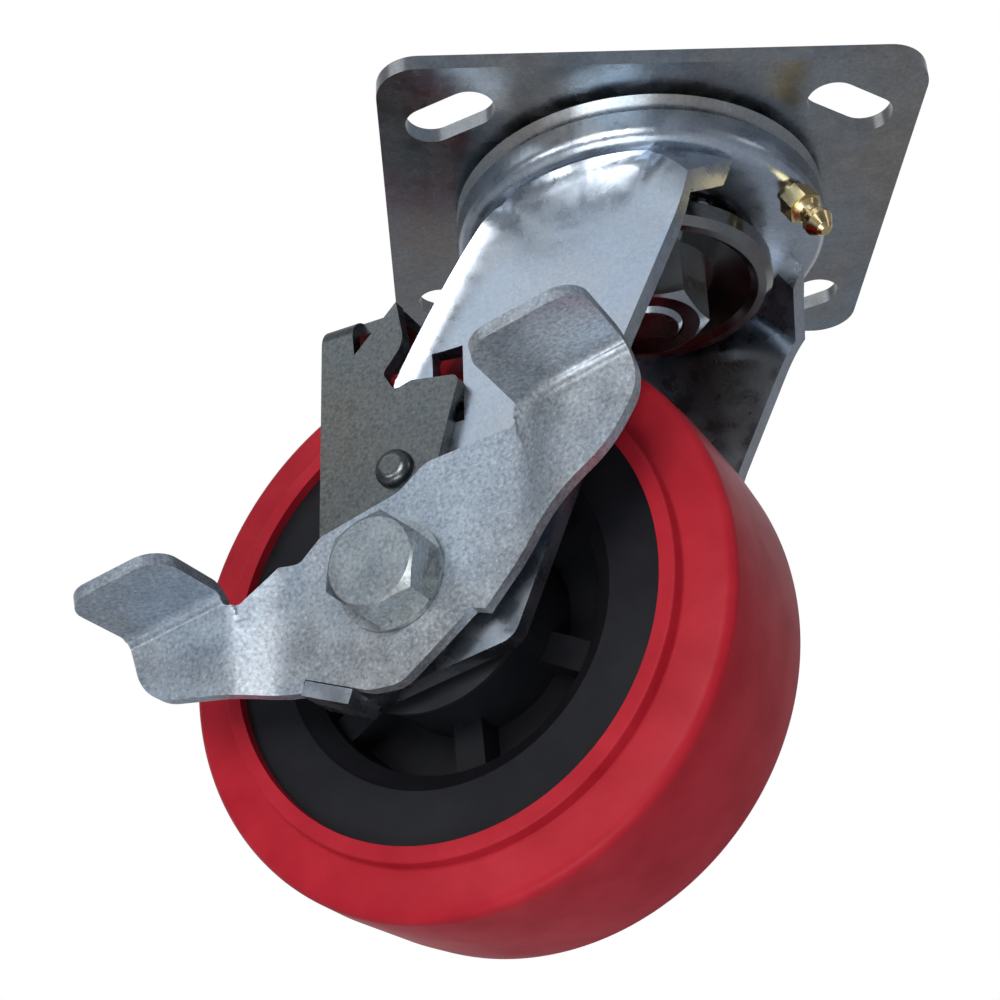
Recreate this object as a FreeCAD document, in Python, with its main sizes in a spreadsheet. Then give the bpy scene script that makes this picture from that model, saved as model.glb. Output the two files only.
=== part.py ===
import FreeCAD, Part
import math
import os
import re
import Sketcher

# Swivel castor with a pressed top plate, a stamped yoke, a tyred wheel and a rocking brake lever.
# Origin on the swivel axis at the mounting face of the top plate, +Z up, plate sides along X and Y.

SIZES = {
    # Top plate
    "plate_length": 114.3,
    "plate_width": 101.6,
    "plate_gauge": 3.5,
    "plate_corner": 9.0,
    "slot_inner_end": 19.05,
    "slot_inner_side": 12.7,
    "slot_outer_end": 11.1,
    "slot_outer_side": 17.45,
    "slot_width": 11.0,
    "race_drop": 2.2,
    "race_shelf": 4.2,
    "head_drop": 6.5,
    "press_run": 1.18,
    "press_shift": 0.36,
    # Kingpin, its nut and the lower race
    "kingpin_bore_gap": 0.1,
    "kingpin_width": 16.0,
    "kingpin_length": 34.5,
    "kingpin_head_width": 30.0,
    "kingpin_head_height": 5.6,
    "kingpin_nut_flats": 24.0,
    "kingpin_nut_height": 12.5,
    "lower_race_gap": 1.8,
    "lower_race_wall": 7.0,
    "lower_race_edge": 3.2,
    "lower_race_plate": 3.6,
    "lower_race_skirt": 8.2,
    "lower_race_land": 31.0,
    # Balls of the swivel
    "upper_ball": 7.94,
    "upper_pitch": 31.5,
    "lower_ball": 6.35,
    "ball_play": 0.05,
    "ball_sides": 10,
    "race_slope": 30.0,
    "lower_ball_sink": 1.9,
    # Yoke
    "swivel_angle": -27.73,
    "trail": 41.5,
    "wheel_clearance": 37.0,
    "yoke_gauge": 4.0,
    "crown_margin": 10.0,
    "crown_under": 15.0,
    "crown_lip": 7.6,
    "crown_corner": 3.6,
    "crown_bore": 21.0,
    "hub_clearance": 4.0,
    "flare_run": 0.45,
    "flare_wall": 5.0,
    "root_slope": 0.55,
    "root_depth": 8.0,
    "leg_toe": 5.0,
    "leg_heel": 8.0,
    "throat_half": 22.0,
    "window_left": 6.3,
    "window_right": 13.5,
    "window_below": 14.5,
    "window_height": 17.8,
    "stop_gauge": 3.0,
    "stop_width": 11.4,
    "stop_slope": 20.0,
    "stop_proud": 0.4,
    # Axle
    "axle_width": 12.0,
    "hex_flats": 19.0,
    "hex_height": 7.5,
    "hex_turn": 20.0,
    "corner_slope": 30.0,
    "nut_height": 10.0,
    "axle_stub": 2.5,
    "washer_width": 23.0,
    "washer_gauge": 1.2,
    "slip": 0.1,
    "fit": 0.05,
    # Wheel
    "wheel_width": 126.0,
    "tread_half": 19.8,
    "tread_corner": 2.6,
    "tread_bulge": 0.3,
    "tyre_wall": 14.35,
    "rim_half": 21.0,
    "collar_half": 23.4,
    "collar_wall": 3.25,
    "collar_foot": 20.3,
    "rim_wall": 11.95,
    "ledge_wall": 3.5,
    "ledge_half": 17.0,
    "web_half": 7.0,
    "hub_width": 43.0,
    "hub_half": 26.3,
    "hub_bore": 30.4,
    "rib_count": 6,
    "rib_width": 6.4,
    "rib_half": 14.0,
    "rib_turn": -26.0,
    # Bearings and covers
    "bearing_width": 35.0,
    "bearing_depth": 11.0,
    "sleeve_width": 15.0,
    "inner_ring_width": 20.4,
    "outer_ring_bore": 29.6,
    "shield_gauge": 0.8,
    "shield_gap": 0.3,
    "shield_depth": 0.6,
    "cover_width": 48.0,
    "cover_gauge": 1.0,
    "cover_gap": 0.9,
    "cover_collar": 19.6,
    # Brake shoe plate
    "shoe_gauge": 3.0,
    "shoe_gap": 0.3,
    "shoe_bend": 6.0,
    "shoe_reach": 38.0,
    "guide_below": 25.3,
    "guide_height": 2.6,
    "shoe_side": 19.3,
    "shoe_round": 5.0,
    "shoe_nick": 1.6,
    "shoe_hook": 6.0,
    "flange_width": 7.8,
    "shelf_back": 1.6,
    "shelf_width": 10.05,
    "bump_width": 8.4,
    "bump_height": 2.4,
    "bump_across": -1.0,
    "bump_level": 25.2,
    # Brake lever
    "lever_gauge": 2.7,
    "lever_joggle": 3.8,
    "cam_offset": 3.5,
    "cam_width": 22.4,
    "lever_end": 11.0,
    "lever_lobe": 7.0,
    "lever_sweep": 30.0,
    "lever_nick": 2.5,
    "lever_slot": 1.4,
    "pedal_rear": 21.2,
    "pedal_front": 22.0,
    "pedal_corner": 6.0,
    # Grease nipple
    "nipple_turn": -8.0,
    "nipple_inset": 4.1,
    "nipple_tilt": 28.0,
    "nipple_thread": 5.2,
    "nipple_flats": 7.0,
    "nipple_nose": 6.4,
    "nipple_length": 14.5,
}

doc = FreeCAD.newDocument("castor")
sheet = doc.addObject("Spreadsheet::Sheet", "sizes")
for row, (alias, amount) in enumerate(SIZES.items(), start=1):
    sheet.set("A%d" % row, alias)
    sheet.set("B%d" % row, str(amount))
    sheet.setAlias("B%d" % row, alias)
doc.recompute()
size = {alias: float(sheet.get(alias)) for alias in SIZES}

# Sizes that follow from others: the gap between the legs from the hub, the lower ball row from that gap,
# the crown and the plate's steps from the upper ball row, the top of the brake shoe, the axle's drop and
# the wheel's rim from its width, and the slots from the plate's sides.
LINKED = {
    "leg_gap": "(2 * (hub_half + hub_clearance))",
    "lower_race_width": "(leg_gap - 2 * lower_race_gap)",
    "lower_pitch": "(lower_race_width / 2 - lower_race_wall)",
    "crown_width": "(2 * (upper_pitch + crown_margin))",
    "race_inner": "(upper_pitch - race_shelf)",
    "shoe_top": "(wheel_width / 2 + shoe_gap + shoe_gauge)",
    "drop": "(wheel_width / 2 + wheel_clearance)",
    "slot_inner_x": "(plate_length / 2 - slot_inner_end)",
    "slot_inner_y": "(plate_width / 2 - slot_inner_side)",
    "slot_outer_x": "(plate_length / 2 - slot_outer_end)",
    "slot_outer_y": "(plate_width / 2 - slot_outer_side)",
    "rim_width": "(wheel_width - 2 * tyre_wall)",
    "collar_width": "(rim_width + 2 * collar_wall)",
    "dish_width": "(rim_width - 2 * rim_wall)",
    "ledge_width": "(dish_width - 2 * ledge_wall)",
}


def bind(text):
    """Write each size's name as its cell in the sheet, and each linked size as the sizes it follows from."""
    for name, meaning in reversed(LINKED.items()):
        text = re.sub(r"\b%s\b" % name, meaning, text)
    for name in set(re.findall(r"[a-z_]+", text)) & set(SIZES):
        text = re.sub(r"\b%s\b" % name, "sizes." + name, text)
    return text


size["leg_gap"] = 2 * (size["hub_half"] + size["hub_clearance"])
size["lower_pitch"] = size["leg_gap"] / 2 - size["lower_race_gap"] - size["lower_race_wall"]
size["crown_width"] = 2 * (size["upper_pitch"] + size["crown_margin"])
size["shoe_top"] = size["wheel_width"] / 2 + size["shoe_gap"] + size["shoe_gauge"]
size["drop"] = size["wheel_width"] / 2 + size["wheel_clearance"]
size["slot_inner_x"] = size["plate_length"] / 2 - size["slot_inner_end"]
size["slot_inner_y"] = size["plate_width"] / 2 - size["slot_inner_side"]
size["slot_outer_x"] = size["plate_length"] / 2 - size["slot_outer_end"]
size["slot_outer_y"] = size["plate_width"] / 2 - size["slot_outer_side"]


def new_body(label, placement=None):
    body = doc.addObject("PartDesign::Body", label)
    body.Label = label
    if placement is not None:
        body.Placement = placement
    return body


def new_sketch(body, name, role, offset=0.0):
    """Start a sketch on one of the body's own origin planes, moved along the plane's normal."""
    sketch = body.newObject("Sketcher::SketchObject", name)
    plane = next(item for item in body.Origin.OriginFeatures if item.Role == role)
    sketch.AttachmentSupport = (plane, [""])
    sketch.MapMode = "FlatFace"
    sketch.AttachmentOffset = FreeCAD.Placement(FreeCAD.Vector(0, 0, offset), FreeCAD.Rotation())
    return sketch


def draw_outline(sketch, corners):
    """Draw a closed run of straight lines whose corners are held at sizes from the sheet."""
    first = sketch.GeometryCount
    count = len(corners)
    start = []
    for index in range(count):
        angle = 2 * math.pi * index / count
        start.append(FreeCAD.Vector(50 * math.cos(angle), 50 * math.sin(angle), 0))
    for index in range(count):
        sketch.addGeometry(Part.LineSegment(start[index], start[(index + 1) % count]), False)
    for index in range(count):
        after = first + (index + 1) % count
        sketch.addConstraint(Sketcher.Constraint("Coincident", first + index, 2, after, 1))
    for index, corner in enumerate(corners):
        for axis, text in zip("XY", corner):
            amount = start[index].x if axis == "X" else start[index].y
            held = Sketcher.Constraint("Distance" + axis, -1, 1, first + index, 1, amount)
            number = sketch.addConstraint(held)
            name = "corner%d%s" % (first + index, axis)
            sketch.renameConstraint(number, name)
            sketch.setExpression("Constraints." + name, bind(str(text)))


def draw_circle(sketch, width, across="0", along="0"):
    """Draw a circle by its diameter, with its centre held at sizes from the sheet."""
    circle = sketch.addGeometry(Part.Circle(FreeCAD.Vector(1, 1, 0), FreeCAD.Vector(0, 0, 1), 5), False)
    held = (("Diameter", (circle, 10), width), ("DistanceX", (-1, 1, circle, 3, 1), across),
            ("DistanceY", (-1, 1, circle, 3, 1), along))
    for kind, values, text in held:
        number = sketch.addConstraint(Sketcher.Constraint(kind, *values))
        name = "circle%d%s" % (circle, kind)
        sketch.renameConstraint(number, name)
        sketch.setExpression("Constraints." + name, bind(str(text)))


def finish_feature(feature, sketch, settings):
    for name, text in settings.items():
        if isinstance(text, str):
            feature.setExpression(name, bind(text))
        else:
            setattr(feature, name, text)
    sketch.Visibility = False
    doc.recompute()
    return feature


def pad(body, name, sketch, length, **settings):
    feature = body.newObject("PartDesign::Pad", name)
    feature.Profile = sketch
    return finish_feature(feature, sketch, dict(Length=length, **settings))


def pocket(body, name, sketch, length, **settings):
    feature = body.newObject("PartDesign::Pocket", name)
    feature.Profile = sketch
    return finish_feature(feature, sketch, dict(Length=length, **settings))


def revolve(body, name, sketch, kind="PartDesign::Revolution"):
    """Turn a profile through a full circle about the sketch's upright axis."""
    feature = body.newObject(kind, name)
    feature.Profile = sketch
    feature.ReferenceAxis = (sketch, ["V_Axis"])
    return finish_feature(feature, sketch, {"Angle": 360.0})


def turned_body(label, profile, placement=None):
    """A body of revolution about its own Z axis, from radius and height pairs."""
    body = new_body(label, placement)
    sketch = new_sketch(body, label + "_profile", "XZ_Plane")
    draw_outline(sketch, profile)
    revolve(body, label + "_turned", sketch)
    return body


def round_edges(body, name, radius, chosen, kind="PartDesign::Fillet"):
    """Round the edges of the body so far that the test picks."""
    base = body.Tip
    names = ["Edge%d" % number for number, edge in enumerate(base.Shape.Edges, start=1) if chosen(edge)]
    feature = body.newObject(kind, name)
    feature.Base = (base, names)
    feature.setExpression("Radius" if kind == "PartDesign::Fillet" else "Size", bind(str(radius)))
    doc.recompute()
    return feature


def round_corners(body, sketch, rounded):
    """Round corners of the block made from an outline, each group given as a radius and corner numbers."""
    normal = sketch.Placement.Rotation.multVec(FreeCAD.Vector(0, 0, 1))
    for radius, numbers in rounded:
        places = [sketch.Placement.multVec(sketch.Geometry[number].StartPoint) for number in numbers]
        round_edges(body, "%s_round_%d" % (sketch.Name, numbers[0]), radius,
                    lambda edge: is_upright(edge, normal)
                    and any((edge.CenterOfMass - place).cross(normal).Length < 0.01 for place in places))


def is_upright(edge, axis=FreeCAD.Vector(0, 0, 1)):
    """True for a straight edge that runs along the given axis."""
    return edge.Curve.TypeId == "Part::GeomLine" and abs(abs(edge.Curve.Direction.dot(axis)) - 1) < 1e-6


def hexagon(flats):
    """The six corners of a hexagon of the given width across its flats, one corner on the X axis."""
    corner = "(%s) / sqrt(3)" % flats
    half = "(%s) / sqrt(3) / 2" % flats
    return [(corner, "0"), (half, "(%s) / 2" % flats), ("-" + half, "(%s) / 2" % flats),
            ("-" + corner, "0"), ("-" + half, "-(%s) / 2" % flats), (half, "-(%s) / 2" % flats)]


def hexagon_body(label, flats, bottom, height, placement=None):
    """A hexagonal prism with its corners turned off at both ends."""
    body = new_body(label, placement)
    sketch = new_sketch(body, label + "_hexagon", "XY_Plane", bottom)
    draw_outline(sketch, hexagon(flats))
    pad(body, label + "_prism", sketch, height)
    return body


def turn_off_corners(body, label, flats, level, inward):
    """Cut the cone that a hexagon's corners are turned off with, at one end of it."""
    sketch = new_sketch(body, label, "XZ_Plane")
    across = "(%s) / sqrt(3)" % flats
    fall = "((%s) / sqrt(3) - (%s) / 2 + 1.5) * tan(corner_slope)" % (flats, flats)
    draw_outline(sketch, [("(%s) / 2 - 0.5" % flats, level), (across + " + 1", level),
                          (across + " + 1", "%s + %s * %s" % (level, inward, fall))])
    revolve(body, label + "_cut", sketch, "PartDesign::Groove")


def turn(angle, about=(0, 0, 1)):
    """A placement that turns about a line through the origin."""
    return FreeCAD.Placement(FreeCAD.Vector(), FreeCAD.Rotation(FreeCAD.Vector(*about), angle))


def shift(x, y, z):
    """A placement that only moves."""
    return FreeCAD.Placement(FreeCAD.Vector(x, y, z), FreeCAD.Rotation())


# Frames of the plate, the swivelled yoke and the axle. In the axle's frame Z points out on the near side
# and Y points up.
fork = turn(size["swivel_angle"])
to_axle = shift(-size["trail"], 0, -size["drop"]) * turn(90, (1, 0, 0))
axle = fork * to_axle
parts = {}


def keep(label, item):
    item.Label = label
    parts[label] = item


# Heights of the two ball rows, and the groove that each row runs in: two sloping walls that touch the
# balls on both sides of their highest or lowest point.
upper_centre = "-(race_drop + plate_gauge + crown_under - yoke_gauge) / 2"
lower_centre = "-(crown_under + lower_ball / 2 - lower_ball_sink)"


def race_section(diameter, pitch, level, up):
    """The groove's triangle, above the balls for up = 1 and below them for up = -1."""
    apex = "(%s / 2 + ball_play) / cos(race_slope)" % diameter
    depth = "%s * 0.72" % apex
    return [(pitch, "%s + %s * %s" % (level, up, apex)),
            ("%s - %s / tan(race_slope)" % (pitch, depth), "%s + %s * (%s - %s)" % (level, up, apex, depth)),
            ("%s + %s / tan(race_slope)" % (pitch, depth), "%s + %s * (%s - %s)" % (level, up, apex, depth))]


# Top plate: a rectangle of sheet with four slanted bolt slots, pressed down in two steps, first to the
# ball race and then to the seat of the kingpin's head.
plate = new_body("top_plate")
sheet_sketch = new_sketch(plate, "plate_outline", "XY_Plane")
draw_outline(sheet_sketch, [
    ("-plate_length / 2", "-plate_width / 2"), ("plate_length / 2", "-plate_width / 2"),
    ("plate_length / 2", "plate_width / 2"), ("-plate_length / 2", "plate_width / 2"),
])
pad(plate, "plate_sheet", sheet_sketch, "plate_gauge", Reversed=True)
round_edges(plate, "plate_corners", "plate_corner", is_upright)
slots = new_sketch(plate, "slot_outlines", "XY_Plane")
slot_half = size["slot_width"] / 2
for side_x in (-1, 1):
    for side_y in (-1, 1):
        inner = FreeCAD.Vector(side_x * size["slot_inner_x"], side_y * size["slot_inner_y"], 0)
        outer = FreeCAD.Vector(side_x * size["slot_outer_x"], side_y * size["slot_outer_y"], 0)
        along = (outer - inner).normalize()
        aside = FreeCAD.Vector(-along.y, along.x, 0) * slot_half
        first = slots.GeometryCount
        slots.addGeometry(Part.LineSegment(inner - aside, outer - aside), False)
        slots.addGeometry(Part.Arc(outer - aside, outer + along * slot_half, outer + aside), False)
        slots.addGeometry(Part.LineSegment(outer + aside, inner + aside), False)
        slots.addGeometry(Part.Arc(inner + aside, inner - along * slot_half, inner - aside), False)
        for arc, x_name, y_name in ((first + 1, "slot_outer_x", "slot_outer_y"),
                                    (first + 3, "slot_inner_x", "slot_inner_y")):
            centre = slots.Geometry[arc].Center
            for axis, amount, name, sign in (("X", centre.x, x_name, side_x),
                                             ("Y", centre.y, y_name, side_y)):
                number = slots.addConstraint(Sketcher.Constraint("Distance" + axis, -1, 1, arc, 3, amount))
                slots.renameConstraint(number, "arc%d%s" % (arc, axis))
                slots.setExpression("Constraints.arc%d%s" % (arc, axis), bind("%d * %s" % (sign, name)))
            number = slots.addConstraint(Sketcher.Constraint("Radius", arc, slot_half))
            slots.renameConstraint(number, "arc%dRadius" % arc)
            slots.setExpression("Constraints.arc%dRadius" % arc, bind("slot_width / 2"))
        for line, arc, line_end, arc_end in ((first, first + 1, 2, 1), (first + 2, first + 1, 1, 2),
                                             (first + 2, first + 3, 2, 1), (first, first + 3, 1, 2)):
            slots.addConstraint(Sketcher.Constraint("Tangent", line, line_end, arc, arc_end))
pocket(plate, "bolt_slots", slots, "plate_gauge", Reversed=False)
centre = new_sketch(plate, "centre_opening", "XY_Plane")
draw_circle(centre, "crown_width - 0.02")
pocket(plate, "centre_opened", centre, "plate_gauge")
pressed = new_sketch(plate, "pressed_profile", "XZ_Plane")
draw_outline(pressed, [
    ("crown_width / 2", "0"),
    ("crown_width / 2 - plate_gauge * press_shift", "0"),
    ("crown_width / 2 - plate_gauge * press_shift - race_drop * press_run", "-race_drop"),
    ("race_inner - plate_gauge * press_shift", "-race_drop"),
    ("race_inner - plate_gauge * press_shift - (head_drop - race_drop) * press_run", "-head_drop"),
    ("kingpin_width / 2 + kingpin_bore_gap", "-head_drop"),
    ("kingpin_width / 2 + kingpin_bore_gap", "-head_drop - plate_gauge"),
    ("race_inner - (head_drop - race_drop) * press_run", "-head_drop - plate_gauge"),
    ("race_inner", "-race_drop - plate_gauge"),
    ("crown_width / 2 - race_drop * press_run", "-race_drop - plate_gauge"),
    ("crown_width / 2", "-plate_gauge"),
])
revolve(plate, "pressed_centre", pressed)
race = new_sketch(plate, "upper_race", "XZ_Plane")
draw_outline(race, race_section("upper_ball", "upper_pitch", upper_centre, "1"))
revolve(plate, "upper_race_groove", race, "PartDesign::Groove")
keep("top_plate", plate)

# Kingpin: a low round head in the plate's seat and a plain shank down through the crown.
kingpin = turned_body("kingpin", [
    ("0", "-head_drop + kingpin_head_height"),
    ("kingpin_head_width / 2 - 1.5", "-head_drop + kingpin_head_height"),
    ("kingpin_head_width / 2", "-head_drop + kingpin_head_height - 1.5"),
    ("kingpin_head_width / 2", "-head_drop"),
    ("kingpin_width / 2", "-head_drop"),
    ("kingpin_width / 2", "-kingpin_length + 1.2"),
    ("kingpin_width / 2 - 1.2", "-kingpin_length"),
    ("0", "-kingpin_length"),
])
keep("kingpin", kingpin)

# Lower race: a dished ring under the crown with a rounded edge, hollow like a saucer from below.
race_top = "-(crown_under + lower_ball - 2 * lower_ball_sink)"
lower_race = turned_body("lower_race", [
    ("kingpin_width / 2 + fit", race_top),
    ("lower_race_width / 2 - lower_race_edge", race_top),
    ("lower_race_width / 2", race_top + " - 3"),
    ("lower_race_width / 2", race_top + " - lower_race_skirt + 1.6"),
    ("lower_race_width / 2 - 1.6", race_top + " - lower_race_skirt"),
    ("lower_race_width / 2 - 3.4", race_top + " - lower_race_skirt"),
    ("lower_race_width / 2 - 5", race_top + " - lower_race_skirt + 1.2"),
    ("lower_race_land / 2", race_top + " - lower_race_plate"),
    ("kingpin_width / 2 + fit", race_top + " - lower_race_plate"),
])
lower_groove = new_sketch(lower_race, "lower_race_section", "XZ_Plane")
draw_outline(lower_groove, race_section("lower_ball", "lower_pitch", lower_centre, "-1"))
revolve(lower_race, "lower_race_groove", lower_groove, "PartDesign::Groove")
keep("lower_race", lower_race)

# Kingpin nut, turned off at the corners of its outer end.
nut_top = -(size["crown_under"] + size["lower_ball"] - 2 * size["lower_ball_sink"] + size["lower_race_plate"])
kingpin_nut = hexagon_body("kingpin_nut", "kingpin_nut_flats", nut_top - size["kingpin_nut_height"],
                           "kingpin_nut_height")
nut_bore = new_sketch(kingpin_nut, "nut_bore", "XY_Plane", nut_top)
draw_circle(nut_bore, "kingpin_width + 2 * fit")
pocket(kingpin_nut, "nut_bored", nut_bore, "kingpin_nut_height")
turn_off_corners(kingpin_nut, "nut_corners", "kingpin_nut_flats",
                 race_top + " - lower_race_plate - kingpin_nut_height", "1")
keep("kingpin_nut", kingpin_nut)


def primitive(kind, name, **settings):
    item = doc.addObject(kind, name)
    for key, text in settings.items():
        item.setExpression(key, bind(text))
    return item


def ball_row(label, diameter, pitch, level, count):
    """A ring of loose balls as one compound. Each ball is a many-sided prism with its ends bevelled."""
    flat = "%s / 2 * cos(180 / 8)" % diameter
    balls = []
    for index in range(count):
        angle = 2 * math.pi * index / count
        prism = primitive("Part::Prism", "%s_%d_prism" % (label, index), Circumradius=flat,
                          Height="2 * " + flat, Polygon="ball_sides")
        prism.Placement.Base = FreeCAD.Vector(pitch * math.cos(angle), pitch * math.sin(angle), 0)
        prism.setExpression("Placement.Base.z", bind("%s - %s" % (level, flat)))
        doc.recompute()
        bevel = size[diameter] / 2 * ball_bevel
        ball = doc.addObject("Part::Chamfer", "%s_%d" % (label, index))
        ball.Base = prism
        ball.Edges = [(number, bevel, bevel) for number, edge in enumerate(prism.Shape.Edges, start=1)
                      if not is_upright(edge)]
        balls.append(ball)
    row = doc.addObject("Part::Compound", label)
    row.Links = balls
    keep(label, row)


ball_bevel = 0.5
ball_row("upper_balls", "upper_ball", size["upper_pitch"], upper_centre,
         int(2 * math.pi * size["upper_pitch"] / (size["upper_ball"] * 1.12)))
ball_row("lower_balls", "lower_ball", size["lower_pitch"], lower_centre,
         int(2 * math.pi * size["lower_pitch"] / (size["lower_ball"] * 1.12)))

# Yoke: one stamping. The crown is a shallow dish with a turned-up lip, and the two legs come down from
# it through conical flares that run out into flat sides.
crown = turned_body("crown", [
    ("0", "-crown_under"),
    ("crown_width / 2", "-crown_under"),
    ("crown_width / 2", "-crown_lip"),
    ("crown_width / 2 - yoke_gauge + 0.3", "-crown_lip"),
    ("crown_width / 2 - yoke_gauge", "-crown_under + yoke_gauge"),
    ("0", "-crown_under + yoke_gauge"),
])


def is_ring(edge, radius, level):
    curve = edge.Curve
    return (curve.TypeId == "Part::GeomCircle" and abs(curve.Radius - radius) < 0.01
            and abs(curve.Center.z - level) < 0.01)


round_edges(crown, "crown_round", "crown_corner",
            lambda edge: is_ring(edge, size["crown_width"] / 2, -size["crown_under"]))

leg_outline = new_body("leg_outline")
leg_sketch = new_sketch(leg_outline, "leg_shape", "XZ_Plane")
draw_outline(leg_sketch, [
    ("31.5", "-crown_under + yoke_gauge / 2"),
    ("8.1", "-57"),
    ("-trail + 22.8", "-drop - 15.6"),
    ("-trail - 8", "-drop - 22.4"),
    ("-trail - 19.7", "-drop - 18.4"),
    ("-trail - 18", "-drop + 2"),
    ("-39.4", "-43.2"),
    ("-30.1", "-28.6"),
    ("-27", "-crown_under + yoke_gauge / 2"),
])
pad(leg_outline, "leg_block", leg_sketch, "crown_width + 2 * yoke_gauge", Midplane=True)
round_corners(leg_outline, leg_sketch, [("leg_toe", [2]), ("leg_heel", [4])])


def cone(name, top, bottom, run, inset):
    """A cone that starts at the end of the crown's rounded edge and runs in or out on its way down."""
    root = "(crown_width / 2 - crown_corner - %s)" % inset
    item = primitive("Part::Cone", name, Height="%s - %s" % (bottom, top),
                     Radius1="%s + %s * (%s - crown_under)" % (root, run, bottom),
                     Radius2="%s + %s * (%s - crown_under)" % (root, run, top))
    item.setExpression("Placement.Base.z", bind("-(%s)" % bottom))
    return item


def block(name, half, top):
    """A block that is longer and lower than the yoke, of the given half width across it."""
    item = primitive("Part::Box", name, Length="4 * drop", Width="2 * %s" % half, Height="2 * drop")
    item.setExpression("Placement.Base.x", bind("-2 * drop"))
    item.setExpression("Placement.Base.y", bind("-(%s)" % half))
    item.setExpression("Placement.Base.z", bind("-2 * drop - (%s)" % top))
    return item


def join(kind, name, first, second):
    item = doc.addObject(kind, name)
    item.Base = first
    item.Tool = second
    return item


flare_top = "(crown_under - yoke_gauge / 2)"
flat_sides = join("Part::Common", "flat_sides", block("side_block", "(leg_gap / 2 + yoke_gauge)", flare_top),
                  cone("outer_flare", flare_top, "(2 * drop)", "flare_run", "0"))
root_cone = cone("root_cone", flare_top, "(crown_under + root_depth)", "-root_slope", "0")
outside = join("Part::Fuse", "outside_of_legs", flat_sides, root_cone)
hollow = join("Part::Common", "hollow_core", block("hollow_block", "(leg_gap / 2)", "crown_under"),
              cone("inner_flare", "crown_under", "(2 * drop)", "flare_run", "flare_wall"))
flared = join("Part::Common", "flared_legs", leg_outline, outside)
opened = join("Part::Cut", "opened_legs", flared, hollow)
legs = join("Part::Cut", "legs", opened, block("throat_block", "throat_half", "crown_under"))
axle_hole = primitive("Part::Cylinder", "axle_hole", Radius="axle_width / 2 + fit", Height="2 * leg_gap")
axle_hole.Placement = to_axle * shift(0, 0, -size["leg_gap"])
window_foot = size["shoe_top"] - size["window_below"] - size["window_height"]
guide_window = primitive("Part::Box", "guide_window", Length="window_right - window_left",
                         Width="window_height", Height="leg_gap")
guide_window.Placement = to_axle * shift(size["window_left"], window_foot, 0)
bored_legs = join("Part::Cut", "bored_legs", join("Part::Cut", "drilled_legs", legs, axle_hole), guide_window)
stop = new_body("stop_tab", to_axle)
stop_sketch = new_sketch(stop, "stop_section", "XY_Plane", size["leg_gap"] / 2)
stop_left = ("-19.4", "-17.6")
stop_right = ("-19.4 + stop_width * cos(stop_slope)", "-17.6 - stop_width * sin(stop_slope)")
stop_under = [(across + " - stop_gauge * sin(stop_slope)", level + " - stop_gauge * cos(stop_slope)")
              for across, level in (stop_right, stop_left)]
draw_outline(stop_sketch, [stop_left, stop_right] + stop_under)
pad(stop, "stop_bent", stop_sketch, "yoke_gauge + 2 * slip + shoe_gauge + lever_gauge + stop_proud")
stamping = doc.addObject("Part::MultiFuse", "stamping")
stamping.Shapes = [crown, bored_legs, stop]
kingpin_hole = primitive("Part::Cylinder", "kingpin_hole", Radius="crown_bore / 2", Height="yoke_gauge + 2")
kingpin_hole.setExpression("Placement.Base.z", bind("-crown_under - 1"))
nipple_radius = size["crown_width"] / 2 - size["nipple_inset"]
nipple_place = (turn(size["nipple_turn"]) * shift(nipple_radius, 0, -size["crown_under"])
                * turn(180 - size["nipple_tilt"], (0, 1, 0)))
nipple_hole = primitive("Part::Cylinder", "nipple_hole", Radius="nipple_thread / 2", Height="3 * yoke_gauge")
nipple_hole.Placement = nipple_place * shift(0, 0, -1.8 * size["yoke_gauge"])
yoke_holes = doc.addObject("Part::MultiFuse", "yoke_holes")
yoke_holes.Shapes = [
    kingpin_hole, nipple_hole,
    turned_body("crown_upper_race", race_section("upper_ball", "upper_pitch", upper_centre, "-1")),
    turned_body("crown_lower_race", race_section("lower_ball", "lower_pitch", lower_centre, "1")),
]
yoke = join("Part::Cut", "yoke", stamping, yoke_holes)
yoke.Placement = fork
keep("yoke", yoke)

# Grease nipple: a brass fitting with a hexagon, a neck and a round nose, screwed into the crown's edge.
nipple = turned_body("nipple_turned", [
    ("0", "-2.8"), ("nipple_thread / 2", "-2.8"), ("nipple_thread / 2", "1.2"),
    ("nipple_flats / 2 * 0.9", "1.2"), ("nipple_flats / 2 * 0.9", "nipple_length - 7.9"),
    ("nipple_nose / 2 - 0.9", "nipple_length - 7.1"), ("nipple_nose / 2 - 0.9", "nipple_length - 5.5"),
    ("nipple_nose / 2", "nipple_length - 4.3"), ("nipple_nose / 2", "nipple_length - 2.9"),
    ("nipple_nose / 2 - 1.3", "nipple_length - 0.8"), ("nipple_nose / 2 - 2", "nipple_length"),
    ("0", "nipple_length"),
])
nipple_hex = new_sketch(nipple, "nipple_hexagon", "XY_Plane", 1.6)
draw_outline(nipple_hex, hexagon("nipple_flats"))
pad(nipple, "nipple_flats_pad", nipple_hex, "4.6")
nipple.Placement = fork * nipple_place
keep("grease_nipple", nipple)

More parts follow.
